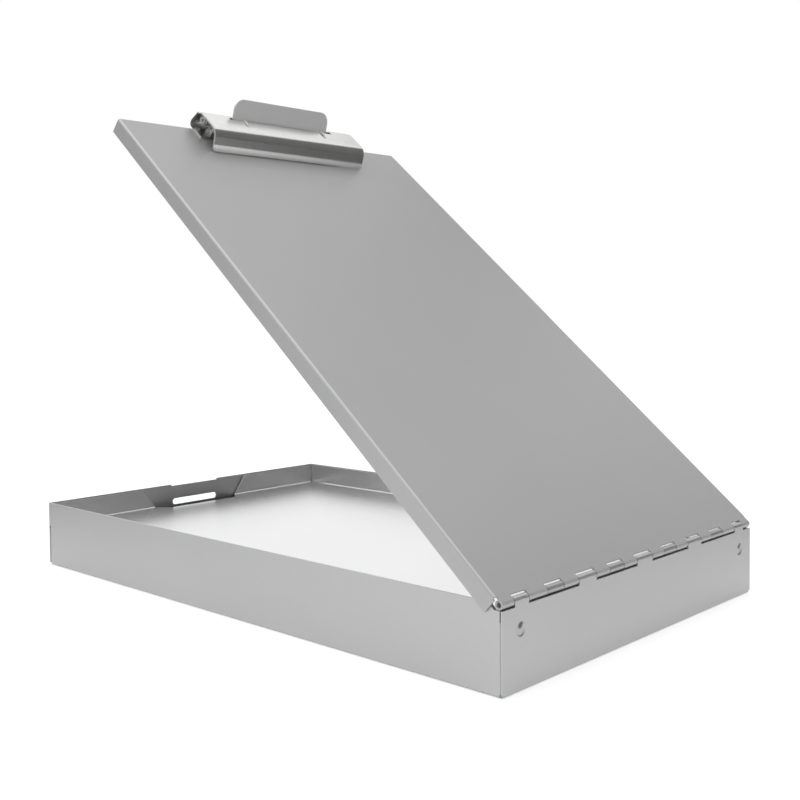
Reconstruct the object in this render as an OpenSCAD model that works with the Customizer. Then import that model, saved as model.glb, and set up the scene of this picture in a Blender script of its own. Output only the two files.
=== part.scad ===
// Storage clipboard: a folded tray with a lift-out inner pan under a writing lid.
// The tray, the pan and the lid share one rolled hinge, and a spring clip sits on the lid.
// Z points up, the hinge end lies toward -Y, and the origin is the middle of the tray's underside.

/* [Tray] */
// Outside width of the tray
tray_w = 232; // [224:1:240]
// Outside length of the tray, from the hinge end to the clip end
tray_l = 355.4; // [345:0.2:366]
// Height of the tray walls
tray_h = 39.6; // [36:0.2:44]
// Thickness of the aluminium sheet of the tray, the pan and the lid
sheet = 0.8; // [0.7:0.05:0.9]
// Outside radius of every folded edge of that sheet
fold_r = 1.4; // [1.2:0.1:1.8]
// Outside radius of the tighter folds at the tray's upright corners
corner_fold_r = 1; // [0.9:0.05:1.4]
// Open gap beside the edges of the hinge end's wall, above the corner tabs
corner_gap = 0.5; // [0.3:0.05:0.8]
// Reach of the corner tabs behind the end walls
corner_tab_w = 22; // [19:0.5:26]
// Width of the catch slot through the far wall
slot_w = 38.7; // [34:0.1:44]
// Height of the catch slot
slot_h = 4.2; // [3.4:0.1:5]
// Height of the middle of the catch slot above the table
slot_z = 27.5; // [26.5:0.1:28.5]
// Depth of the shallow notch in the rim over the catch slot
rim_notch = 1; // [0.6:0.1:1.4]

/* [Inner pan] */
// Clear height of the lower compartment under the pan
lower_depth = 24.4; // [21:0.1:26]
// Gap between the pan and the side walls of the tray
pan_side_gap = 0.4; // [0.3:0.05:0.8]
// Gap between the pan and the far wall of the tray
pan_end_gap = 0.7; // [0.6:0.05:1]
// Drop from the rim of the tray to the rim of the pan
pan_drop = 0.6; // [0.3:0.1:1.2]
// Width of the finger cut-out at the rim of the pan
cut_rim_w = 90; // [82:1:100]
// Width of the finger cut-out at the floor of the pan
cut_floor_w = 70; // [62:1:76]
// Reach of the finger cut-out into the floor
cut_reach = 10; // [8:0.5:14]
// Depth of the two ledges that carry the pan
rest_depth = 8; // [6:0.5:11]

/* [Hinge] */
// Diameter of the hinge pin
pin_d = 2.3; // [2.1:0.05:2.5]
// Running clearance around the pin, on the radius
pin_fit = 0.05; // [0.03:0.01:0.08]
// Gap between neighbouring knuckles
knuckle_gap = 0.4; // [0.3:0.05:0.6]
// Spacing of the tray knuckles along the pin
hinge_pitch = 51; // [49:0.5:52]
// Width of the inner tray knuckles
tray_knuckle_w = 14.4; // [12:0.2:17]
// Width of the outermost tray knuckles
end_knuckle_w = 10; // [8:0.2:13]
// Width of the pan knuckles
pan_knuckle_w = 12.4; // [10:0.2:15]

/* [Lid] */
// Angle of the lid above its closed place
lid_open_angle = 40.9; // [0:0.1:120]
// Gap between the lid flanges and the tray walls
lid_gap = 0.4; // [0.3:0.05:0.7]
// Gap between the rim of the tray and the closed lid
rim_gap = 0.4; // [0.3:0.05:0.7]
// Depth of the lid flanges
flange_d = 9; // [7:0.25:10]

/* [Clip] */
// Width of the clip
clip_w = 128; // [120:1:136]
// Thickness of the clip's sheet steel
clip_sheet = 1; // [0.8:0.05:1.1]
// Distance from the clip's rear face to the end of the lid
clip_overhang = 3.6; // [3:0.1:4.5]
// Length of the clip base, front edge to rear face
base_reach = 14.7; // [13.5:0.1:16]
// Height of the rear wall of the clip base
rear_h = 10.8; // [10:0.1:11.2]
// Forward lean of that rear wall in degrees
rear_lean = 19; // [16:0.5:20]
// Diameter of the tubular rod that the jaw turns on
rod_d = 4; // [3.6:0.1:4.2]
// Bore of that rod
rod_bore = 2.4; // [2:0.1:2.8]
// Height of the rod's axis above the lid
rod_h = 8; // [7.8:0.1:8.2]
// Distance from the rod's axis to the foot of the jaw's lip
jaw_reach = 22.3; // [20:0.1:25]
// Height of the jaw above the lid
jaw_h = 12.4; // [12.3:0.1:13]
// Radius of the jaw's rounded front
jaw_r = 7; // [6:0.1:8]
// Outward lean of the jaw's lip in degrees
lip_lean = 25; // [20:1:28]
// Width of the lever plate
lever_w = 80; // [70:1:84]
// Height of the lever plate's top edge above the lid
lever_h = 23.2; // [20:0.2:30]
// Backward lean of the lever plate in degrees
lever_lean = 26; // [20:1:28]
// Radius of the lever plate's corners
lever_r = 7; // [4:0.5:9]
// Wire diameter of the clip springs
wire_d = 1; // [0.8:0.05:1.05]
// Number of turns of each clip spring
spring_turns = 4; // [3:1:4]

/* [Rivets] */
// Diameter of the sunk heads of the corner rivets
corner_rivet_d = 7.4; // [6.8:0.1:8]
// Distance from the tray's side face to the corner rivets
corner_rivet_in = 13.1; // [10:0.1:15]
// Distance of the hinge end's corner rivets below that wall's edge
corner_rivet_drop = 10.1; // [9:0.1:14]
// Shank diameter of the two rivets that hold the clip
clip_rivet_d = 4; // [3.2:0.1:4.4]

/* [Hidden] */
$fn = 64;

// Overrun of every cut past the face it opens.
over = 1;
// Seam left open between two sheets that meet.
seam = 0.12;
// Least air between pieces that turn past each other.
room = 0.3;
// Slack around a fixed rivet or rod in its hole, on the radius.
snug = 0.03;

// Rolled hinge
pin_r = pin_d / 2;
bore_r = pin_r + pin_fit;
knuckle_r = bore_r + sheet;
hinge_y = -tray_l / 2 + knuckle_r;
hinge_z = tray_h + rim_gap - bore_r;
// Height at which the walls stop under a knuckle of another sheet, and clear of the lid's
// sheet when that is turned right over.
wall_top = hinge_z - knuckle_r - room;
// Angle that a rolled knuckle stays open by.
mouth = 60;
// How far the hinge strip ends inside the tray's side faces.
strip_in = 0.4;
strip_half = tray_w / 2 - strip_in;
// How far the pin ends inside the last knuckle.
pin_in = 1.6;
// Where the lid's sheet begins over the knuckles of the tray and the pan.
window_v = knuckle_r + room;
tray_tabs = [for (i = [-2:2]) [i * hinge_pitch, abs(i) == 2 ? end_knuckle_w : tray_knuckle_w]];
pan_tabs = [for (i = [-1.5:1.5]) [i * hinge_pitch, pan_knuckle_w]];
fixed_tabs = [for (i = [-4:4]) [
    i * hinge_pitch / 2,
    i % 2 != 0 ? pan_knuckle_w : (abs(i) == 4 ? end_knuckle_w : tray_knuckle_w)
]];
function tab_left(t) = t[0] - t[1] / 2 - knuckle_gap;
function tab_right(t) = t[0] + t[1] / 2 + knuckle_gap;
last_tab = len(fixed_tabs) - 1;
lid_knuckles = concat(
    [[-strip_half, tab_left(fixed_tabs[0])]],
    [for (i = [0:last_tab - 1]) [tab_right(fixed_tabs[i]), tab_left(fixed_tabs[i + 1])]],
    [[tab_right(fixed_tabs[last_tab]), strip_half]]
);

// Tray corners
tab_foot = fold_r + seam;
// Open length of the gap above the corner tabs of the hinge end.
tab_drop = 4.9;
tab_top = wall_top - tab_drop;
seam_y = -tray_l / 2 + sheet + seam;
// Slant of the wall corners that clear the hinge strip, length per height.
slant_share = 1;
cut_y = hinge_y + knuckle_r + room;

// Inner pan
pan_z = sheet + lower_depth;
pan_w = tray_w - 2 * (sheet + pan_side_gap);
pan_y0 = hinge_y + knuckle_r - sheet;
pan_y1 = tray_l / 2 - sheet - pan_end_gap;
pan_h = tray_h - pan_drop - pan_z;
rest_z = pan_z - room;
// Radius where the finger cut-out runs into the rim and into the floor.
cut_rim_r = 5;
cut_floor_r = 6;
// Narrowing of the cut-out across the floor, on each side.
cut_taper = 6;

// Corner rivets
rivet_neck_r = 2;
rivet_shank_r = 1.6;
rivet_tail_r = 2.6;
rivet_tail = 0.6;
dish_rim = 0.6;
dish_floor_r = 2.2;
dish = 0.5;
rivet_x = tray_w / 2 - corner_rivet_in;
rivet_high_z = wall_top - corner_rivet_drop;
// The far rivets sit at half the height of their tabs.
rivet_low_z = rest_z / 2;

// Lid
lid_w = tray_w + 2 * (lid_gap + sheet);
lid_end = tray_l / 2 + lid_gap + sheet - hinge_y;
// Bend relief beside the last lid knuckles.
relief_w = 2;
relief_l = 0.9;

// Catch
catch_sheet = 0.5;
catch_in = 16;
catch_r = 1.2;
catch_side = 0.6;
// Air between the catch's bead and the far wall.
bead_room = 0.65;
bead_rise = 0.6;
bead_r = 1.5;
catch_tail = 3.4;
catch_w = slot_w - 2 * catch_side;
wall_v = tray_l / 2 - sheet - hinge_y;
catch_v = wall_v - bead_room - bead_rise;
bead_n = slot_z - hinge_z;

// Clip base
rear_bend_r = 3;
// Lap of the rear wall over the end of its bend, and how far it stands out there.
bend_lap = 0.3;
skin = 0.01;
clip_v = lid_end + clip_overhang;
rear_len = (rear_h - rear_bend_r * (1 + sin(rear_lean))) / cos(rear_lean);
// Distance from the rear face to the rod's axis.
rod_back = 7.2;
rod_r = rod_d / 2;
rod_in = 2;
ear_rim = 1;
ear_r = rod_r + ear_rim;
// Places of the ears, counted in from the clip's ends.
base_ear_in = 10.5;
jaw_ear_in = 13.5;
// Small pressed pips on the rear face.
pip_r = 1.7;
pip_tip_r = 0.9;
pip_rise = 0.8;
pip_in = 5.2;
clip_rivet_r = clip_rivet_d / 2;
rivet_brim = 1.4;
rivet_head_r = clip_rivet_r + rivet_brim;
rivet_head = 1.1;
clip_rivet_u = 42;
// Distance of the rivets from the front edge of the base.
rivet_from_front = 4.7;
clip_rivet_a = rivet_from_front - base_reach;

// Jaw and lever, counted from the rod's axis
jaw_top = jaw_h - rod_h;
jaw_under = jaw_top - clip_sheet;
jaw_tail = 1.2;
lip_gap = 0.4;
lip_r = 2;
// Turn of the jaw's round front, the straight lip below it, and where the front begins.
jaw_turn = 90 - lip_lean;
lip_b = lip_gap - rod_h;
lip_len = (jaw_top - jaw_r - lip_b + (jaw_r - clip_sheet) * cos(jaw_turn)) / sin(jaw_turn);
jaw_a = jaw_r * sin(jaw_turn) + lip_len * cos(jaw_turn) - jaw_reach;
rod_fit = 0.08;
arm_in = 6.7;
arm_u = lever_w / 2 - arm_in;
arm_reach = 7.8;
arm_rise = 1.2;
arm_room = 0.5;
crown_r = (pow(arm_reach / 2, 2) + pow(arm_rise, 2)) / (2 * arm_rise);
recess_side = 3.5;
recess = 3.2;
// Place of the lever plate's lower front edge.
lever_fore = 0.1;
lever_lift = 0.1;
lever_a = -lever_fore;
lever_b = jaw_under + lever_lift;
lever_len = (lever_h - rod_h - lever_b) / cos(lever_lean);

// Springs
wire_r = wire_d / 2;
coil_room = 0.25;
coil_r = rod_r + coil_room + wire_r;
turn_gap = 0.55;
coil_pitch = wire_d + turn_gap;
coil_start = base_ear_in - wire_r - turn_gap;
foot_reach = 6.2;
foot_b = clip_sheet + room + wire_r - rod_h;
tail_reach = 0.9;
wire_sides = 6;
turn_rings = 20;

// Extrudes a Y-Z outline along X.
module along_x(from, to) {
    translate([from, 0, 0])
        rotate([90, 0, 90])
            linear_extrude(to - from)
                children();
}

// Extrudes an X-Z outline along Y.
module along_y(from, to) {
    translate([0, to, 0])
        rotate([90, 0, 0])
            linear_extrude(to - from)
                children();
}

module both_sides() {
    children();
    mirror([1, 0, 0]) children();
}

// A quarter of a sheet bend, with the outer corner of its square at the origin.
module quarter_bend(r = fold_r) {
    intersection() {
        square(r);
        translate([r, r])
            difference() {
                circle(r);
                circle(r - sheet);
            }
    }
}

// Outline of a wall that rises from a bend, with its outer face on the Y axis.
module folded_wall(height) {
    translate([0, fold_r]) square([sheet, height - fold_r]);
    quarter_bend();
}

// Outline of a rolled knuckle whose leaf hangs from its left side.
module knuckle(leaf) {
    reach = 2 * knuckle_r;
    difference() {
        circle(knuckle_r);
        circle(bore_r);
        polygon([
            [0, 0],
            [-reach, 0],
            [-reach * cos(mouth / 2), -reach * sin(mouth / 2)],
            [-reach * cos(mouth), -reach * sin(mouth)]
        ]);
    }
    translate([-knuckle_r, -leaf]) square([sheet, leaf]);
}

// One end wall, full width, seen as the wall nearest the origin of its frame.
module end_wall(w, height) {
    along_x(-w / 2 + fold_r, w / 2 - fold_r) folded_wall(height);
    translate([-w / 2, 0, fold_r]) cube([w, sheet, height - fold_r]);
}

// Cut that slants the top corner of a side wall clear of the hinge strip.
module corner_slant(x0, x1) {
    rise = tray_h - wall_top;
    along_x(x0, x1)
        polygon([
            [-tray_l / 2 - over, wall_top],
            [cut_y, wall_top],
            [cut_y + (rise + over) * slant_share, tray_h + over],
            [-tray_l / 2 - over, tray_h + over]
        ]);
}

// Corner tab of a side wall, folded behind the end wall.
module corner_tab(top) {
    translate([-tray_w / 2, seam_y, tab_foot])
        linear_extrude(top - tab_foot) {
            translate([corner_fold_r, 0]) square([corner_tab_w - corner_fold_r, sheet]);
            quarter_bend(corner_fold_r);
        }
}

// Ledge at the top of a far corner tab.
module pan_ledge() {
    along_x(-tray_w / 2 + fold_r + seam, -tray_w / 2 + corner_tab_w)
        translate([seam_y, rest_z])
            mirror([0, 1]) {
                quarter_bend();
                translate([fold_r, 0]) square([rest_depth - fold_r, sheet]);
            }
}

// End of a side wall above its corner tab, where it stops beside the end wall.
module wall_tip(gap, from) {
    tip_y = -tray_l / 2 + sheet + gap;
    translate([-tray_w / 2, tip_y, from])
        cube([sheet, seam_y + corner_fold_r + seam - tip_y, tray_h - from]);
}

module tray_side() {
    end_y = seam_y + corner_fold_r;
    along_y(end_y, -end_y)
        translate([-tray_w / 2, 0])
            folded_wall(tray_h);
    corner_tab(tab_top);
    wall_tip(corner_gap, tab_top + seam);
    mirror([0, 1, 0]) {
        corner_tab(rest_z - fold_r);
        pan_ledge();
        wall_tip(seam, rest_z + seam);
    }
}

// Sunk seat and shank hole of one corner rivet, on the hinge end.
module rivet_hole(z) {
    translate([rivet_x, -tray_l / 2, z])
        rotate([-90, 0, 0]) {
            cylinder(h = sheet, r1 = corner_rivet_d / 2, r2 = rivet_neck_r);
            cylinder(h = 2 * sheet + seam + over, r = rivet_shank_r + snug);
        }
}

module tray_shell() {
    color([0.72, 0.73, 0.74])
        difference() {
            union() {
                translate([-tray_w / 2 + fold_r, -tray_l / 2 + fold_r, 0])
                    cube([tray_w - 2 * fold_r, tray_l - 2 * fold_r, sheet]);
                both_sides() tray_side();
                translate([0, -tray_l / 2, 0]) end_wall(tray_w, wall_top);
                translate([0, tray_l / 2, 0]) mirror([0, 1, 0]) end_wall(tray_w, tray_h);
                for (t = tray_tabs)
                    along_x(t[0] - t[1] / 2, t[0] + t[1] / 2)
                        translate([hinge_y, hinge_z])
                            knuckle(hinge_z - wall_top + sheet);
            }
            both_sides() corner_slant(tray_w / 2 - 2 * sheet, tray_w / 2 + over);
            both_sides() rivet_hole(rivet_high_z);
            both_sides() mirror([0, 1, 0]) rivet_hole(rivet_low_z);
            along_y(tray_l / 2 - sheet - over, tray_l / 2 + over)
                translate([0, slot_z]) {
                    square([slot_w - slot_h, slot_h], center = true);
                    translate([(slot_w - slot_h) / 2, 0]) circle(slot_h / 2);
                    translate([(slot_h - slot_w) / 2, 0]) circle(slot_h / 2);
                }
            translate([-slot_w / 2 - rim_notch, tray_l / 2 - sheet - over, tray_h - rim_notch])
                cube([slot_w + 2 * rim_notch, sheet + 2 * over, rim_notch + over]);
        }
}

// Rivet with a sunk, hollowed head. Its rim lies flush in the end wall.
module corner_rivet(z) {
    dish_r = corner_rivet_d / 2 - dish_rim;
    slope = (dish_r - dish_floor_r) / dish;
    grip = 2 * sheet + seam;
    translate([rivet_x, -tray_l / 2, z])
        rotate([-90, 0, 0])
            difference() {
                union() {
                    cylinder(h = sheet, r1 = corner_rivet_d / 2 - snug, r2 = rivet_neck_r - snug);
                    cylinder(h = grip + rivet_tail, r = rivet_shank_r);
                    translate([0, 0, grip]) cylinder(h = rivet_tail, r = rivet_tail_r);
                }
                translate([0, 0, -over])
                    cylinder(h = dish + over, r1 = dish_r + over * slope, r2 = dish_floor_r);
            }
}

module corner_rivets() {
    color([0.66, 0.67, 0.68]) {
        both_sides() corner_rivet(rivet_high_z);
        both_sides() mirror([0, 1, 0]) corner_rivet(rivet_low_z);
    }
}

module hinge_pin() {
    half = strip_half - pin_in;
    color([0.55, 0.56, 0.58])
        translate([-half, hinge_y, hinge_z])
            rotate([0, 90, 0])
                cylinder(h = 2 * half, r = pin_r);
}

// Unit direction from one point to another.
function unit(v) = v / norm(v);

// Extra cut that rounds a corner of the sheet at p, between the directions a and b.
module corner_round(p, a, b, r) {
    half = acos(unit(a) * unit(b)) / 2;
    flat = r / tan(half);
    mid = p + unit(unit(a) + unit(b)) * r / sin(half);
    difference() {
        polygon([p, p + unit(a) * flat, mid, p + unit(b) * flat]);
        translate(mid) circle(r);
    }
}

// Outline of the finger cut-out in the pan's far wall.
module wall_cut() {
    top = pan_z + pan_h;
    slope = [(cut_floor_w - cut_rim_w) / 2, -pan_h];
    polygon([
        [-cut_floor_w / 2, pan_z - over],
        [cut_floor_w / 2, pan_z - over],
        [cut_floor_w / 2, pan_z],
        [cut_rim_w / 2, top],
        [cut_rim_w / 2, top + over],
        [-cut_rim_w / 2, top + over],
        [-cut_rim_w / 2, top],
        [-cut_floor_w / 2, pan_z]
    ]);
    both_sides() corner_round([cut_rim_w / 2, top], [1, 0], slope, cut_rim_r);
}

// Outline of the same cut-out in the floor, with rounded inner corners.
module floor_cut() {
    inner_y = pan_y1 - cut_reach;
    w_out = cut_floor_w / 2;
    w_in = cut_floor_w / 2 - cut_taper;
    // The turn at each inner corner sets how far its rounding reaches.
    turn = atan2(cut_reach, cut_taper);
    flat = cut_floor_r * tan(turn / 2);
    polygon([
        [-w_in + flat, inner_y],
        [w_in - flat, inner_y],
        [w_in + flat * cos(turn), inner_y + flat * sin(turn)],
        [w_out, pan_y1],
        [w_out, pan_y1 + over],
        [-w_out, pan_y1 + over],
        [-w_out, pan_y1],
        [-w_in - flat * cos(turn), inner_y + flat * sin(turn)]
    ]);
    both_sides() translate([w_in - flat, inner_y + cut_floor_r]) circle(cut_floor_r);
}

module inner_pan() {
    color([0.84, 0.85, 0.86])
        difference() {
            union() {
                translate([0, 0, pan_z]) {
                    translate([-pan_w / 2 + fold_r, pan_y0 + fold_r, 0])
                        cube([pan_w - 2 * fold_r, pan_y1 - pan_y0 - 2 * fold_r, sheet]);
                    both_sides() {
                        along_y(pan_y0 + fold_r, pan_y1 - fold_r)
                            translate([-pan_w / 2, 0])
                                folded_wall(pan_h);
                        translate([-pan_w / 2, pan_y0 + sheet + seam, fold_r])
                            cube([sheet, pan_y1 - pan_y0 - 2 * (sheet + seam), pan_h - fold_r]);
                    }
                    translate([0, pan_y0, 0]) end_wall(pan_w, wall_top - pan_z);
                    translate([0, pan_y1, 0]) mirror([0, 1, 0]) end_wall(pan_w, pan_h);
                }
                for (t = pan_tabs)
                    along_x(t[0] - t[1] / 2, t[0] + t[1] / 2)
                        translate([hinge_y, hinge_z])
                            mirror([1, 0])
                                knuckle(hinge_z - wall_top + sheet);
            }
            both_sides() corner_slant(pan_w / 2 - 2 * sheet, pan_w / 2 + over);
            along_y(pan_y1 - fold_r - over, pan_y1 + over) wall_cut();
            translate([0, 0, pan_z - over]) linear_extrude(over + fold_r + seam) floor_cut();
        }
}

// Frame of the lid: X across, Y along the lid from the pin, Z out of its top.
module lid_place() {
    translate([0, hinge_y, hinge_z])
        rotate([lid_open_angle, 0, 0])
            children();
}

// Rounded corner between a side flange and the flange of the clip end.
module lid_corner() {
    translate([-lid_w / 2 + fold_r, lid_end - fold_r, knuckle_r - fold_r]) {
        intersection() {
            difference() {
                sphere(fold_r);
                sphere(fold_r - sheet);
            }
            translate([-fold_r, 0, 0]) cube(fold_r);
        }
        translate([0, 0, fold_r - flange_d])
            linear_extrude(flange_d - fold_r)
                translate([-fold_r, fold_r])
                    mirror([0, 1])
                        quarter_bend();
    }
}

module lid() {
    color([0.66, 0.67, 0.68])
        lid_place()
            difference() {
                union() {
                    translate([-lid_w / 2 + fold_r, window_v, bore_r])
                        cube([lid_w - 2 * fold_r, lid_end - fold_r - window_v, sheet]);
                    both_sides() {
                        along_y(window_v, lid_end - fold_r)
                            translate([-lid_w / 2, knuckle_r])
                                mirror([0, 1])
                                    folded_wall(flange_d);
                        lid_corner();
                    }
                    along_x(-lid_w / 2 + fold_r, lid_w / 2 - fold_r)
                        translate([lid_end, knuckle_r])
                            mirror([1, 0])
                                mirror([0, 1])
                                    folded_wall(flange_d);
                    for (k = lid_knuckles)
                        along_x(k[0], k[1])
                            mirror([1, 1])
                                knuckle(window_v + sheet);
                }
                both_sides()
                    translate([lid_w / 2 - relief_w, window_v, knuckle_r - fold_r])
                        cube([relief_w + over, relief_l, fold_r + over]);
                for (s = [-1, 1])
                    translate([s * clip_rivet_u, clip_v + clip_rivet_a, bore_r - over])
                        cylinder(h = sheet + 2 * over, r = clip_rivet_r + snug);
            }
}

// Spring tongue under the clip end, whose bead faces the slot of the far wall.
module lid_catch() {
    foot_n = bead_n - catch_tail;
    color([0.6, 0.61, 0.63])
        lid_place()
            along_x(-catch_w / 2, catch_w / 2) {
                translate([catch_v - catch_in, bore_r - catch_sheet])
                    square([catch_in - catch_r, catch_sheet]);
                translate([catch_v - catch_r, bore_r - catch_r])
                    intersection() {
                        square(catch_r);
                        difference() {
                            circle(catch_r);
                            circle(catch_r - catch_sheet);
                        }
                    }
                translate([catch_v - catch_sheet, foot_n])
                    square([catch_sheet, bore_r - catch_r - foot_n]);
                intersection() {
                    translate([catch_v + bead_rise - bead_r, bead_n]) circle(bead_r);
                    translate([catch_v - catch_sheet / 2, bead_n - bead_r])
                        square([bead_r, 2 * bead_r]);
                }
            }
}

// Frame of the clip: on the lid's top, with its rear face at zero.
module clip_place() {
    lid_place()
        translate([0, clip_v, knuckle_r])
            children();
}

// The same frame, moved to the rod's axis.
module rod_place() {
    clip_place()
        translate([0, -rod_back, rod_h])
            children();
}

module clip_base() {
    bend = 2 * rear_bend_r;
    ear_u = clip_w / 2 - base_ear_in;
    pip_u = clip_w / 2 - pip_in;
    color([0.72, 0.72, 0.73])
        clip_place()
            difference() {
                union() {
                    along_x(-clip_w / 2, clip_w / 2) {
                        translate([-base_reach, 0])
                            square([base_reach - rear_bend_r, clip_sheet]);
                        translate([-rear_bend_r, rear_bend_r]) {
                            intersection() {
                                difference() {
                                    circle(rear_bend_r);
                                    circle(rear_bend_r - clip_sheet);
                                }
                                polygon([[0, 0], [0, -bend], [bend, -bend], [bend, bend * tan(rear_lean)]]);
                            }
                            rotate(rear_lean)
                                translate([rear_bend_r - clip_sheet - skin, -bend_lap])
                                    square([clip_sheet + 2 * skin, rear_len + bend_lap]);
                        }
                    }
                    both_sides()
                        along_x(ear_u - clip_sheet, ear_u)
                            translate([-rod_back, 0]) {
                                translate([-ear_r, clip_sheet / 2])
                                    square([2 * ear_r, rod_h - clip_sheet / 2]);
                                translate([0, rod_h]) circle(ear_r);
                            }
                    both_sides()
                        translate([pip_u, -rear_bend_r, rear_bend_r])
                            rotate([rear_lean, 0, 0])
                                translate([0, rear_bend_r - clip_sheet / 2, pip_r])
                                    rotate([-90, 0, 0])
                                        cylinder(h = clip_sheet / 2 + pip_rise, r1 = pip_r, r2 = pip_tip_r);
                }
                translate([-clip_w / 2, -rod_back, rod_h])
                    rotate([0, 90, 0])
                        cylinder(h = clip_w, r = rod_r + snug);
                for (s = [-1, 1])
                    translate([s * clip_rivet_u, clip_rivet_a, -over])
                        cylinder(h = clip_sheet + 2 * over, r = clip_rivet_r + snug);
            }
}

module clip_rivets() {
    color([0.6, 0.61, 0.62])
        clip_place()
            for (s = [-1, 1])
                translate([s * clip_rivet_u, clip_rivet_a, 0]) {
                    translate([0, 0, clip_sheet]) {
                        cylinder(h = rivet_head / 2, r = rivet_head_r);
                        translate([0, 0, rivet_head / 2])
                            cylinder(h = rivet_head / 2, r1 = rivet_head_r, r2 = clip_rivet_r);
                    }
                    translate([0, 0, -sheet - rivet_head])
                        cylinder(h = sheet + rivet_head + clip_sheet, r = clip_rivet_r);
                    translate([0, 0, -sheet - rivet_head])
                        cylinder(h = rivet_head, r = rivet_head_r);
                }
}

module clip_rod() {
    half = clip_w / 2 - rod_in;
    color([0.62, 0.63, 0.64])
        rod_place()
            translate([-half, 0, 0])
                rotate([0, 90, 0])
                    difference() {
                        cylinder(h = 2 * half, r = rod_r);
                        translate([0, 0, -over]) cylinder(h = 2 * (half + over), r = rod_bore / 2);
                    }
}

module clip_jaw() {
    bend = 2 * jaw_r;
    ear_u = clip_w / 2 - jaw_ear_in;
    color([0.8, 0.8, 0.81])
        rod_place()
            difference() {
                union() {
                    along_x(-clip_w / 2, clip_w / 2) {
                        translate([jaw_a, jaw_under]) square([jaw_tail - jaw_a, clip_sheet]);
                        translate([jaw_a, jaw_top - jaw_r]) {
                            intersection() {
                                difference() {
                                    circle(jaw_r);
                                    circle(jaw_r - clip_sheet);
                                }
                                polygon([[0, 0], [0, bend], [-bend, bend], [-bend, bend / tan(jaw_turn)]]);
                            }
                            rotate(jaw_turn)
                                translate([-lip_len, jaw_r - clip_sheet - skin])
                                    square([lip_len + bend_lap, clip_sheet + 2 * skin]);
                        }
                    }
                    both_sides()
                        along_x(ear_u - clip_sheet, ear_u) {
                            translate([-ear_r, 0]) square([ear_r + jaw_tail, jaw_under + clip_sheet / 2]);
                            circle(ear_r);
                        }
                }
                both_sides()
                    along_x(ear_u - clip_sheet - over, ear_u + over)
                        circle(rod_r + rod_fit);
                translate([-lever_w / 2 - recess_side, jaw_tail - recess, jaw_under - over])
                    cube([lever_w + 2 * recess_side, recess + over, clip_sheet + 2 * over]);
                for (s = [-1, 1])
                    translate([s * arm_u - clip_sheet / 2 - arm_room, -arm_reach - arm_room, jaw_under - over])
                        cube([clip_sheet + 2 * arm_room, arm_reach + 2 * arm_room, clip_sheet + 2 * over]);
                both_sides()
                    along_y(-jaw_reach - over, jaw_a)
                        translate([clip_w / 2 - lip_r, lip_b])
                            difference() {
                                translate([0, -over]) square([lip_r + over, lip_r + over]);
                                translate([0, lip_r]) circle(lip_r);
                            }
            }
}

module clip_lever() {
    color([0.6, 0.6, 0.61])
        rod_place() {
            translate([0, lever_a, lever_b])
                rotate([-lever_lean, 0, 0])
                    along_y(0, clip_sheet) {
                        translate([-lever_w / 2, 0]) square([lever_w, lever_len - lever_r]);
                        translate([-lever_w / 2 + lever_r, 0]) square([lever_w - 2 * lever_r, lever_len]);
                        for (s = [-1, 1])
                            translate([s * (lever_w / 2 - lever_r), lever_len - lever_r])
                                circle(lever_r);
                    }
            for (s = [-1, 1])
                along_x(s * arm_u - clip_sheet / 2, s * arm_u + clip_sheet / 2)
                    difference() {
                        union() {
                            intersection() {
                                translate([-arm_reach / 2, jaw_top + arm_rise - crown_r]) circle(crown_r);
                                translate([-arm_reach, jaw_under]) square([arm_reach, clip_sheet + arm_rise]);
                            }
                            polygon([
                                [-arm_reach, jaw_under + clip_sheet / 2],
                                [lever_a + clip_sheet / 2, jaw_under + clip_sheet / 2],
                                [ear_r, 0],
                                [-ear_r, 0]
                            ]);
                            circle(ear_r);
                        }
                        circle(rod_r + rod_fit);
                    }
        }
}

// Centre line of the spring wire, counted from the rod's axis. The foot bears on the base
// plate, the turns climb outward along the rod, and the tail bears under the jaw's rear edge.
foot = [-foot_reach, foot_b];
foot_turn = atan2(foot[1], foot[0]) - acos(coil_r / norm(foot));
tail_turn = 90 + 360 * spring_turns;
steps = ceil((tail_turn - foot_turn) / 360 * turn_rings);
function coil_point(i) =
    let (a = foot_turn + (tail_turn - foot_turn) * i / steps)
    [coil_pitch * (a - foot_turn) / 360, coil_r * cos(a), coil_r * sin(a)];
wire_path = concat(
    [[0, foot[0], foot[1]], ([0, foot[0], foot[1]] + coil_point(0)) / 2],
    [for (i = [0:steps]) coil_point(i)],
    [coil_point(steps) + [0, -tail_reach, 0]]
);

// Least air between two turns, measured on the points of the centre line.
turn_air = min([
    for (i = [0:len(wire_path) - 1])
        for (j = [i + ceil(turn_rings / 2):1:len(wire_path) - 1])
            norm(wire_path[i] - wire_path[j]) - wire_d
]);
echo(least_gap_between_turns = turn_air);

module wire(path) {
    last = len(path) - 1;
    points = [
        for (i = [0:last])
            let (
                t = unit(path[min(i + 1, last)] - path[max(i - 1, 0)]),
                n = unit(cross([1, 0, 0], t)),
                b = cross(t, n)
            )
            for (k = [0:wire_sides - 1])
                path[i] + wire_r * (n * cos(360 * k / wire_sides) + b * sin(360 * k / wire_sides))
    ];
    faces = concat(
        [for (k = [1:wire_sides - 2]) [0, k + 1, k]],
        [
            for (i = [0:last - 1])
                for (k = [0:wire_sides - 1])
                    let (a = i * wire_sides + k, b = i * wire_sides + (k + 1) % wire_sides)
                    for (f = [[a, b, b + wire_sides], [a, b + wire_sides, a + wire_sides]]) f
        ],
        [for (k = [1:wire_sides - 2]) [for (m = [0, k, k + 1]) last * wire_sides + m]]
    );
    polyhedron(points, faces);
}

module spring() {
    translate([clip_w / 2 - coil_start, 0, 0]) wire(wire_path);
}

module spring_right() {
    color([0.5, 0.5, 0.52]) rod_place() spring();
}

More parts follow.
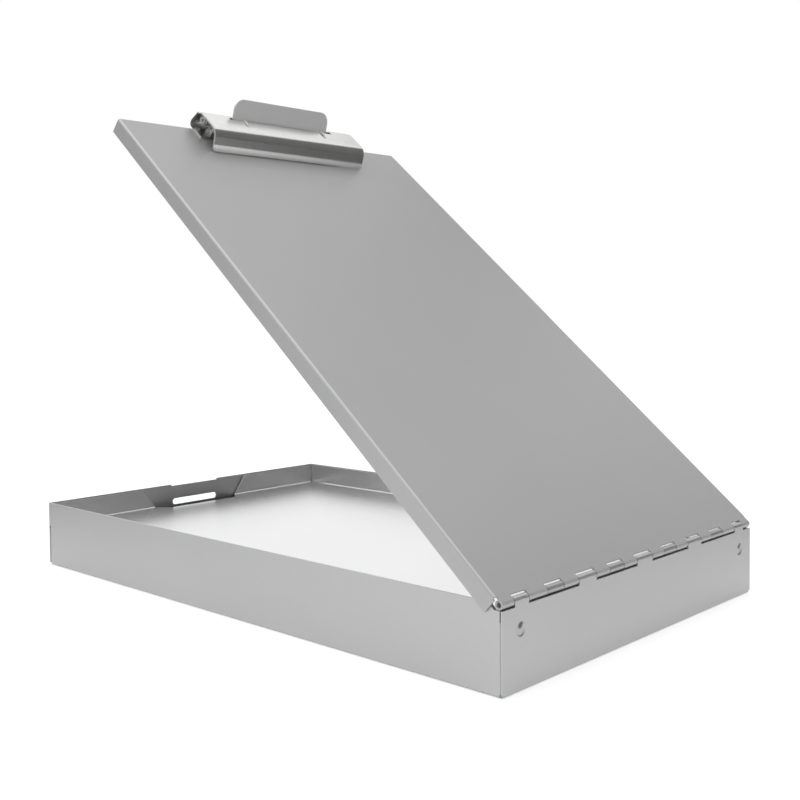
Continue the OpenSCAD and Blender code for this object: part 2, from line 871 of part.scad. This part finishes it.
module spring_left() {
    color([0.5, 0.5, 0.52]) rod_place() mirror([1, 0, 0]) spring();
}

tray_shell();
corner_rivets();
hinge_pin();
inner_pan();
lid();
lid_catch();
clip_base();
clip_rivets();
clip_rod();
clip_jaw();
clip_lever();
spring_left();
spring_right();
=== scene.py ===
from math import cos, radians, sin

import bpy
from mathutils import Matrix, Vector

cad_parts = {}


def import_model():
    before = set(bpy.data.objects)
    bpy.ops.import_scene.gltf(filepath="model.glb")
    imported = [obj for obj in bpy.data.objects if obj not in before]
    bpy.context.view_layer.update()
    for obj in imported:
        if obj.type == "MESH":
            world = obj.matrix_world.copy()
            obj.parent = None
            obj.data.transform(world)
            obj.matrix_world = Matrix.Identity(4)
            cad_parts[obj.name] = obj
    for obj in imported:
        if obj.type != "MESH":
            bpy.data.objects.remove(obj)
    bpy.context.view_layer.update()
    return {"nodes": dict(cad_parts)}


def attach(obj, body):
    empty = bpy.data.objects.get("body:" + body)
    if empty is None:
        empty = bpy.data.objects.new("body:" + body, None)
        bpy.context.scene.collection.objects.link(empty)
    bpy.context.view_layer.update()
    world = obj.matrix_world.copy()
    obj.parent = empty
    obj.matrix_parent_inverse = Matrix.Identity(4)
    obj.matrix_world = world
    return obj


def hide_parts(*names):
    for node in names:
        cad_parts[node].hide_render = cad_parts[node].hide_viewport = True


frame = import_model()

scene = bpy.context.scene
MM = 0.001

# Camera, found from the straight edges of the tray and the lid
CAMERA_PLACE = Vector((-477.27, -443.80, 161.57)) * MM
CAMERA_TURN = radians(45.2396)
CAMERA_DIP = radians(2.1693)
CAMERA_ROLL = radians(-0.5787)
CAMERA_LENS = 49.199
CAMERA_SHIFT = (0.075, -0.0625)
CAMERA_NEAR = 0.01
CAMERA_FAR = 20

# Studio: the room's light, the floor's size, tone and glow, and the cards' usual grey and stance
SKY_LEVEL = 0.8
FLOOR_SIZE = 30
FLOOR_WHITE = 0.9
FLOOR_GLOW = 0.38
MIRRORED_GLOW = 0.13
CARD_GREY = 0.16
STANDING = radians(90)
LYING = 0

# The lid as it stands open: its angle, the pin's place, and the lid's top above the pin
LID_ANGLE = radians(40.9)
PIN_PLACE = Vector((0, -175.7, 38.8)) * MM
LID_TOP = 2 * MM
UP_THE_LID = Vector((0, cos(LID_ANGLE), sin(LID_ANGLE)))
OUT_OF_LID = Vector((0, -sin(LID_ANGLE), cos(LID_ANGLE)))

# A face of the lid belongs to its writing face while the cosine of its tilt is at least this
WRITING_FACE = 0.98

# The pan's rolled knuckles: where they start toward the hinge, and the depth over which their painted shade
# darkens the tone
TO_THE_HINGE = (0, -1, 0)
ROLL_START = 171 * MM
ROLL_DEPTH = 2 * MM

# The painted shadow under the top rim in the mouth of the far right corner rivet, which the other three
# mirror
RIVET_SHADOW_PLACE = Vector((102.9, 177.7, 28.3)) * MM
RIVET_SHADOW_RADIUS = 1.1 * MM
RIVET_SHADOW_EDGE = 2.1 * MM

# Grain of the metals: how fine it is, and how far it changes tone, roughness and height
GRAIN_SCALE = 900
GRAIN_DETAIL = 6
GRAIN_TONE = 0.03
GRAIN_ROUGHNESS = 0.05
GRAIN_HEIGHT = 0.2 * MM
MOTTLE_DETAIL = 3

# Meshes: the gap that is merged, the folds that count as flat or sharp, and the broken edges
MERGE_GAP = 0.001 * MM
FLAT_FOLD = radians(0.5)
SHARP_FOLD = radians(40)
EDGE_BREAK = 0.12 * MM
EDGE_STEPS = 2
SMOOTH_SHEET = radians(35)
SMOOTH_WIRE = radians(80)
WIRE_STEPS = 2
FACE_WEIGHT = 100


def camera():
    """The photograph's view: from the left of the hinge end, about half way up the open lid."""
    ahead = Vector((sin(CAMERA_TURN) * cos(CAMERA_DIP), cos(CAMERA_TURN) * cos(CAMERA_DIP), -sin(CAMERA_DIP)))
    right = Vector((cos(CAMERA_TURN), -sin(CAMERA_TURN), 0))
    up = right.cross(ahead)
    side = right * cos(CAMERA_ROLL) + up * sin(CAMERA_ROLL)
    top = up * cos(CAMERA_ROLL) - right * sin(CAMERA_ROLL)
    bpy.ops.object.camera_add(location=CAMERA_PLACE)
    view = bpy.context.object
    view.rotation_euler = Matrix((side, top, -ahead)).transposed().to_euler()
    view.data.lens = CAMERA_LENS
    view.data.shift_x, view.data.shift_y = CAMERA_SHIFT
    view.data.clip_start = CAMERA_NEAR
    view.data.clip_end = CAMERA_FAR
    scene.camera = view


def nodes_of(owner):
    """The emptied node tree of a material or a world."""
    owner.use_nodes = True
    tree = owner.node_tree
    tree.nodes.clear()
    return tree


def fed(tree, value, socket):
    """A socket takes another node's result, or a plain number."""
    if isinstance(value, bpy.types.NodeSocket):
        tree.links.new(value, socket)
    else:
        socket.default_value = value


def worked_out(tree, operation, *values):
    """One step of arithmetic on results and plain numbers."""
    step = tree.nodes.new("ShaderNodeMath")
    step.operation = operation
    for value, socket in zip(values, step.inputs):
        fed(tree, value, socket)
    return step.outputs[0]


def spread(tree, value, start, end, low, high):
    """A result that runs from low to high while a value runs from start to end."""
    ramp = tree.nodes.new("ShaderNodeMapRange")
    fed(tree, value, ramp.inputs["Value"])
    fed(tree, start, ramp.inputs["From Min"])
    fed(tree, end, ramp.inputs["From Max"])
    fed(tree, low, ramp.inputs["To Min"])
    fed(tree, high, ramp.inputs["To Max"])
    return ramp.outputs[0]


def along(tree, direction, start):
    """How far the shaded point lies along a direction, counted in metres from a start."""
    place = tree.nodes.new("ShaderNodeTexCoord")
    dot = tree.nodes.new("ShaderNodeVectorMath")
    dot.operation = "DOT_PRODUCT"
    dot.inputs[1].default_value = direction
    tree.links.new(place.outputs["Object"], dot.inputs[0])
    return worked_out(tree, "SUBTRACT", dot.outputs["Value"], start)


def noise(tree, scale, detail):
    """Cloudy noise that is fixed to the piece."""
    place = tree.nodes.new("ShaderNodeTexCoord")
    cloud = tree.nodes.new("ShaderNodeTexNoise")
    cloud.inputs["Scale"].default_value = scale
    cloud.inputs["Detail"].default_value = detail
    tree.links.new(place.outputs["Object"], cloud.inputs["Vector"])
    return cloud.outputs["Fac"]


def matt(tree, tone):
    """Matt paint between black and white."""
    paint = tree.nodes.new("ShaderNodeBsdfDiffuse")
    paint.inputs["Color"].default_value = (tone, tone, tone, 1)
    return paint.outputs[0]


def white_light(tree, strength):
    """Plain white light of the room."""
    light = tree.nodes.new("ShaderNodeBackground")
    light.inputs["Color"].default_value = (1, 1, 1, 1)
    light.inputs["Strength"].default_value = strength
    return light.outputs[0]


def seen_apart(tree, for_light, for_sight, output):
    """One shader lights the object, and another is seen: by the camera, in a reflection or through glass."""
    path = tree.nodes.new("ShaderNodeLightPath")
    direct = worked_out(tree, "MAXIMUM", path.outputs["Is Camera Ray"], path.outputs["Is Glossy Ray"])
    seen = worked_out(tree, "MAXIMUM", direct, path.outputs["Is Transmission Ray"])
    mix = tree.nodes.new("ShaderNodeMixShader")
    tree.links.new(seen, mix.inputs[0])
    tree.links.new(for_light, mix.inputs[1])
    tree.links.new(for_sight, mix.inputs[2])
    tree.links.new(mix.outputs[0], tree.nodes.new(output).inputs[0])


def world():
    """A plain pale room: white where it is seen, and even soft light from all round."""
    room = bpy.data.worlds.new("room")
    scene.world = room
    tree = nodes_of(room)
    seen_apart(tree, white_light(tree, SKY_LEVEL), white_light(tree, 1), "ShaderNodeOutputWorld")


def floor():
    """A wide white floor under the tray that keeps its soft shadow, and is just white in a reflection."""
    bpy.ops.mesh.primitive_plane_add(size=FLOOR_SIZE, location=(0, 0, 0))
    ground = bpy.context.object
    ground.name = "floor"
    paint = bpy.data.materials.new("floor_white")
    tree = nodes_of(paint)
    white = matt(tree, FLOOR_WHITE)
    path = tree.nodes.new("ShaderNodeLightPath")
    more = FLOOR_GLOW - MIRRORED_GLOW
    level = worked_out(tree, "MULTIPLY_ADD", path.outputs["Is Camera Ray"], more, MIRRORED_GLOW)
    glow = tree.nodes.new("ShaderNodeEmission")
    tree.links.new(level, glow.inputs["Strength"])
    lit = tree.nodes.new("ShaderNodeAddShader")
    tree.links.new(white, lit.inputs[0])
    tree.links.new(glow.outputs[0], lit.inputs[1])
    seen_apart(tree, white, lit.outputs[0], "ShaderNodeOutputMaterial")
    ground.data.materials.append(paint)


def dark_card(name, place, turn, width, height, grey=CARD_GREY, tilt=STANDING):
    """A dark card out of the picture, standing or lying, so that bright metal has something to mirror."""
    bpy.ops.mesh.primitive_plane_add(size=1, location=place, rotation=(tilt, 0, turn))
    card = bpy.context.object
    card.name = name
    card.scale = (width, height, 1)
    card.visible_camera = False
    card.visible_diffuse = False
    card.visible_shadow = False
    paint = bpy.data.materials.new(name)
    tree = nodes_of(paint)
    out = tree.nodes.new("ShaderNodeOutputMaterial")
    tree.links.new(matt(tree, grey), out.inputs[0])
    card.data.materials.append(paint)


def lamp(name, place, target, width, height, power):
    """One soft rectangular lamp aimed at a point."""
    bpy.ops.object.light_add(type="AREA", location=place)
    light = bpy.context.object
    light.name = name
    light.data.shape = "RECTANGLE"
    light.data.size = width
    light.data.size_y = height
    light.data.energy = power
    aim = Vector(target) - Vector(place)
    light.rotation_euler = aim.to_track_quat("-Z", "Y").to_euler()


def metal(name, colour, rough, metallic=1, grain_bump=0.02, mottle=0.03, mottle_scale=14):
    """Satin metal: a fine grain in colour, roughness and bump, under slow cloudy mottling."""
    finish = bpy.data.materials.new(name)
    tree = nodes_of(finish)
    fine = noise(tree, GRAIN_SCALE, GRAIN_DETAIL)
    grainy = spread(tree, fine, 0, 1, 1 - GRAIN_TONE, 1 + GRAIN_TONE)
    cloudy = spread(tree, noise(tree, mottle_scale, MOTTLE_DETAIL), 0, 1, 1 - mottle, 1 + mottle)
    base = tree.nodes.new("ShaderNodeVectorMath")
    base.name = "tone"
    base.operation = "SCALE"
    base.inputs[0].default_value = colour
    tree.links.new(worked_out(tree, "MULTIPLY", cloudy, grainy), base.inputs["Scale"])
    bump = tree.nodes.new("ShaderNodeBump")
    bump.name = "grain"
    bump.inputs["Strength"].default_value = grain_bump
    bump.inputs["Distance"].default_value = GRAIN_HEIGHT
    tree.links.new(fine, bump.inputs["Height"])
    shader = tree.nodes.new("ShaderNodeBsdfPrincipled")
    shader.name = "metal"
    shader.inputs["Metallic"].default_value = metallic
    roughness = spread(tree, fine, 0, 1, rough - GRAIN_ROUGHNESS, rough + GRAIN_ROUGHNESS)
    tree.links.new(base.outputs[0], shader.inputs["Base Color"])
    tree.links.new(roughness, shader.inputs["Roughness"])
    tree.links.new(bump.outputs[0], shader.inputs["Normal"])
    out = tree.nodes.new("ShaderNodeOutputMaterial")
    tree.links.new(shader.outputs[0], out.inputs[0])
    return finish


def shaded(finish, measure, start, end, tone_start, tone_end):
    """The metal's tone, changed from one factor to another as a measure goes from start to end."""
    tree = finish.node_tree
    scale = tree.nodes["tone"].inputs["Scale"]
    change = spread(tree, measure, start, end, tone_start, tone_end)
    tree.links.new(worked_out(tree, "MULTIPLY", scale.links[0].from_socket, change), scale)


def rougher_with_painted_shade(finish, direction, start, depth, tone, rougher):
    """Rougher metal past a point along a direction, as where the sheet is rolled, and darker there as painted
    shade.
    """
    tree = finish.node_tree
    past = along(tree, direction, start)
    shaded(finish, past, 0, depth, 1, tone)
    roughness = tree.nodes["metal"].inputs["Roughness"]
    more = spread(tree, past, 0, depth, 0, rougher)
    tree.links.new(worked_out(tree, "ADD", roughness.links[0].from_socket, more), roughness)


def painted_rivet_shadow(finish, centre, radius, edge, tone):
    """Painted shadow in the mouth of a rivet, under its top rim: a soft dark spot at one place and at its
    mirror images.
    """
    tree = finish.node_tree
    place = tree.nodes.new("ShaderNodeTexCoord")
    even = tree.nodes.new("ShaderNodeVectorMath")
    even.operation = "ABSOLUTE"
    tree.links.new(place.outputs["Object"], even.inputs[0])
    away = tree.nodes.new("ShaderNodeVectorMath")
    away.operation = "DISTANCE"
    away.inputs[1].default_value = centre
    tree.links.new(even.outputs[0], away.inputs[0])
    shaded(finish, away.outputs["Value"], radius, edge, tone, 1)


def pressed(finish, crown, flare, flare_height, power):
    """The jaw's slight crown along its depth, and the flare of its lip toward the foot, as bump."""
    tree = finish.node_tree
    depth = along(tree, UP_THE_LID, UP_THE_LID.dot(PIN_PLACE))
    height = along(tree, OUT_OF_LID, OUT_OF_LID.dot(PIN_PLACE) + LID_TOP)
    crowned = worked_out(tree, "MULTIPLY", depth, crown)
    curl = worked_out(tree, "POWER", spread(tree, height, flare_height, 0, 0, 1), power)
    surface = worked_out(tree, "MULTIPLY_ADD", curl, -flare * flare_height / power, crowned)
    bend = tree.nodes.new("ShaderNodeBump")
    bend.inputs["Strength"].default_value = 1
    bend.inputs["Distance"].default_value = 1
    tree.links.new(surface, bend.inputs["Height"])
    tree.links.new(bend.outputs[0], tree.nodes["grain"].inputs["Normal"])


def picked(piece):
    """Selects one piece alone and makes it the active one."""
    bpy.ops.object.select_all(action="DESELECT")
    piece.select_set(True)
    bpy.context.view_layer.objects.active = piece


def copied(node, name):
    """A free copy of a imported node, with its loose triangles merged and its flat faces whole."""
    picked(frame["nodes"][node])
    bpy.ops.object.duplicate()
    piece = bpy.context.object
    piece.parent = None
    piece.name = name
    for tag in [tag for tag in piece.keys() if tag.startswith("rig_")]:
        del piece[tag]
    bpy.ops.object.mode_set(mode="EDIT")
    bpy.ops.mesh.customdata_custom_splitnormals_clear()
    bpy.ops.mesh.select_all(action="SELECT")
    bpy.ops.mesh.remove_doubles(threshold=MERGE_GAP)
    bpy.ops.mesh.dissolve_limited(angle_limit=FLAT_FOLD)
    bpy.ops.object.mode_set(mode="OBJECT")
    return piece


def edges_broken(piece, width):
    """The sharp edges of a sheet, slightly rounded as by tumbling."""
    soften = piece.modifiers.new("soft_edges", "BEVEL")
    soften.width = width
    soften.segments = EDGE_STEPS
    soften.limit_method = "ANGLE"
    soften.angle_limit = SHARP_FOLD
    bpy.ops.object.modifier_apply(modifier=soften.name)


def dressed(node, name, body, finish, edge=EDGE_BREAK, smooth=SMOOTH_SHEET):
    """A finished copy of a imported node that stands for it."""
    piece = copied(node, name)
    if edge:
        edges_broken(piece, edge)
    bpy.ops.object.shade_smooth_by_angle(angle=smooth)
    even = piece.modifiers.new("even_normals", "WEIGHTED_NORMAL")
    even.keep_sharp = True
    even.weight = FACE_WEIGHT
    bpy.ops.object.modifier_apply(modifier=even.name)
    piece.data.materials.clear()
    piece.data.materials.append(finish)
    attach(piece, body)
    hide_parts(node)
    return piece


def bare_folds(sheet, finish):
    """The lid's folds, flanges and knuckles in a barer metal than its matt writing face."""
    sheet.data.materials.append(finish)
    for face in sheet.data.polygons:
        if abs(face.normal.dot(OUT_OF_LID)) < WRITING_FACE:
            face.material_index = 1


def round_wire(node, name, body, finish):
    """The spring's faceted wire, made round."""
    wire = dressed(node, name, body, finish, edge=0, smooth=SMOOTH_WIRE)
    picked(wire)
    rounder = wire.modifiers.new("round", "SUBSURF")
    rounder.levels = WIRE_STEPS
    bpy.ops.object.modifier_apply(modifier=rounder.name)


# The studio
camera()
world()
floor()
dark_card("dark_card_right", (1.1, -1.3, 0.9), radians(40), width=2.6, height=1.8)
dark_card("dark_cloth", (0.8, -0.8, 0.002), radians(40), width=2.4, height=1.3, grey=0.1, tilt=LYING)
dark_card("dark_card_left", (-0.85, 1.6, 0.6), radians(28), width=1.3, height=1.3, grey=0.05)
dark_card("dark_cloth_left", (-0.4, 0.6, 0.002), radians(28), width=0.55, height=0.6, grey=0.02, tilt=LYING)
dark_card("grey_card_high", (1.5, 0.32, 1.29), radians(-78), width=0.6, height=0.6, grey=0.25)
dark_card("dark_card_behind", (-1.5, -0.9, 0.5), radians(-59), width=2.2, height=1.3, grey=0.05)
lamp("top_light", (-0.6, 0.4, 4), target=(0, 0, 0.1), width=3.6, height=3.6, power=26)

# Aluminium sheet: satin tray; pan in a lighter tone that is partly a painted sheen, its rolled knuckles
# rougher and darkened as painted shade; matt lid with barer folds
tray_satin = metal("tray_satin", (0.665, 0.665, 0.67), rough=0.5)
# The pan is the same aluminium as the tray; its lighter tone is partly a painted sheen for the bright
# background it mirrors, and its lower roughness is real
pan_satin = metal("pan_satin", (0.9, 0.9, 0.905), rough=0.25, metallic=0.95)
# Painted shade: the rolled knuckles darken toward the hinge, and they are also really rougher
rougher_with_painted_shade(pan_satin, TO_THE_HINGE, ROLL_START, ROLL_DEPTH, tone=0.62, rougher=0.25)
lid_satin = metal("lid_satin", (0.445, 0.445, 0.45), rough=0.42, metallic=0.35)
lid_edge = metal("lid_edge", (0.56, 0.56, 0.565), rough=0.5, metallic=0.6)

# Rivets, with painted shadows in the mouths of those at the corners
rivet_satin = metal("rivet_satin", (0.58, 0.58, 0.585), rough=0.4)
painted_rivet_shadow(rivet_satin, RIVET_SHADOW_PLACE, RIVET_SHADOW_RADIUS, RIVET_SHADOW_EDGE, tone=0.25)

# The clip: bright nickel, its pressed jaw, duller plated steel, and the wire of pin and springs
nickel = metal("nickel", (0.78, 0.78, 0.77), rough=0.25, grain_bump=0.003, mottle=0.06, mottle_scale=250)
jaw_nickel = metal(
    "jaw_nickel", (0.81, 0.81, 0.8), rough=0.24, grain_bump=0.003, mottle=0.08, mottle_scale=300
)
pressed(jaw_nickel, crown=0.1, flare=0.23, flare_height=4.5 * MM, power=1.4)
plated = metal("plated_steel", (0.73, 0.73, 0.73), rough=0.45, metallic=0.5)
spring_steel = metal("spring_steel", (0.5, 0.5, 0.52), rough=0.25)

# Tray
dressed("tray_shell", "tray_sheet", "tray", tray_satin)
dressed("corner_rivets", "corner_rivet_set", "tray", rivet_satin, edge=0)
dressed("hinge_pin", "hinge_wire", "tray", spring_steel, edge=0)

# Pan
dressed("inner_pan", "pan_sheet", "pan", pan_satin)

# Lid, with what is fastened to it
lid_sheet = dressed("lid", "lid_sheet", "lid", lid_satin)
bare_folds(lid_sheet, lid_edge)
dressed("lid_catch", "catch_tongue", "lid", spring_steel)
dressed("clip_base", "clip_base_plate", "lid", nickel)
dressed("clip_rivets", "clip_rivet_pair", "lid", rivet_satin, edge=0)
dressed("clip_rod", "clip_rod_tube", "lid", plated, edge=0)

# Jaw, with the lever and the springs
dressed("clip_jaw", "clip_jaw_sheet", "jaw", jaw_nickel)
dressed("clip_lever", "lever_plate", "jaw", plated)
round_wire("spring_left", "spring_wire_left", "jaw", spring_steel)
round_wire("spring_right", "spring_wire_right", "jaw", spring_steel)

scene.view_settings.view_transform = "Standard"
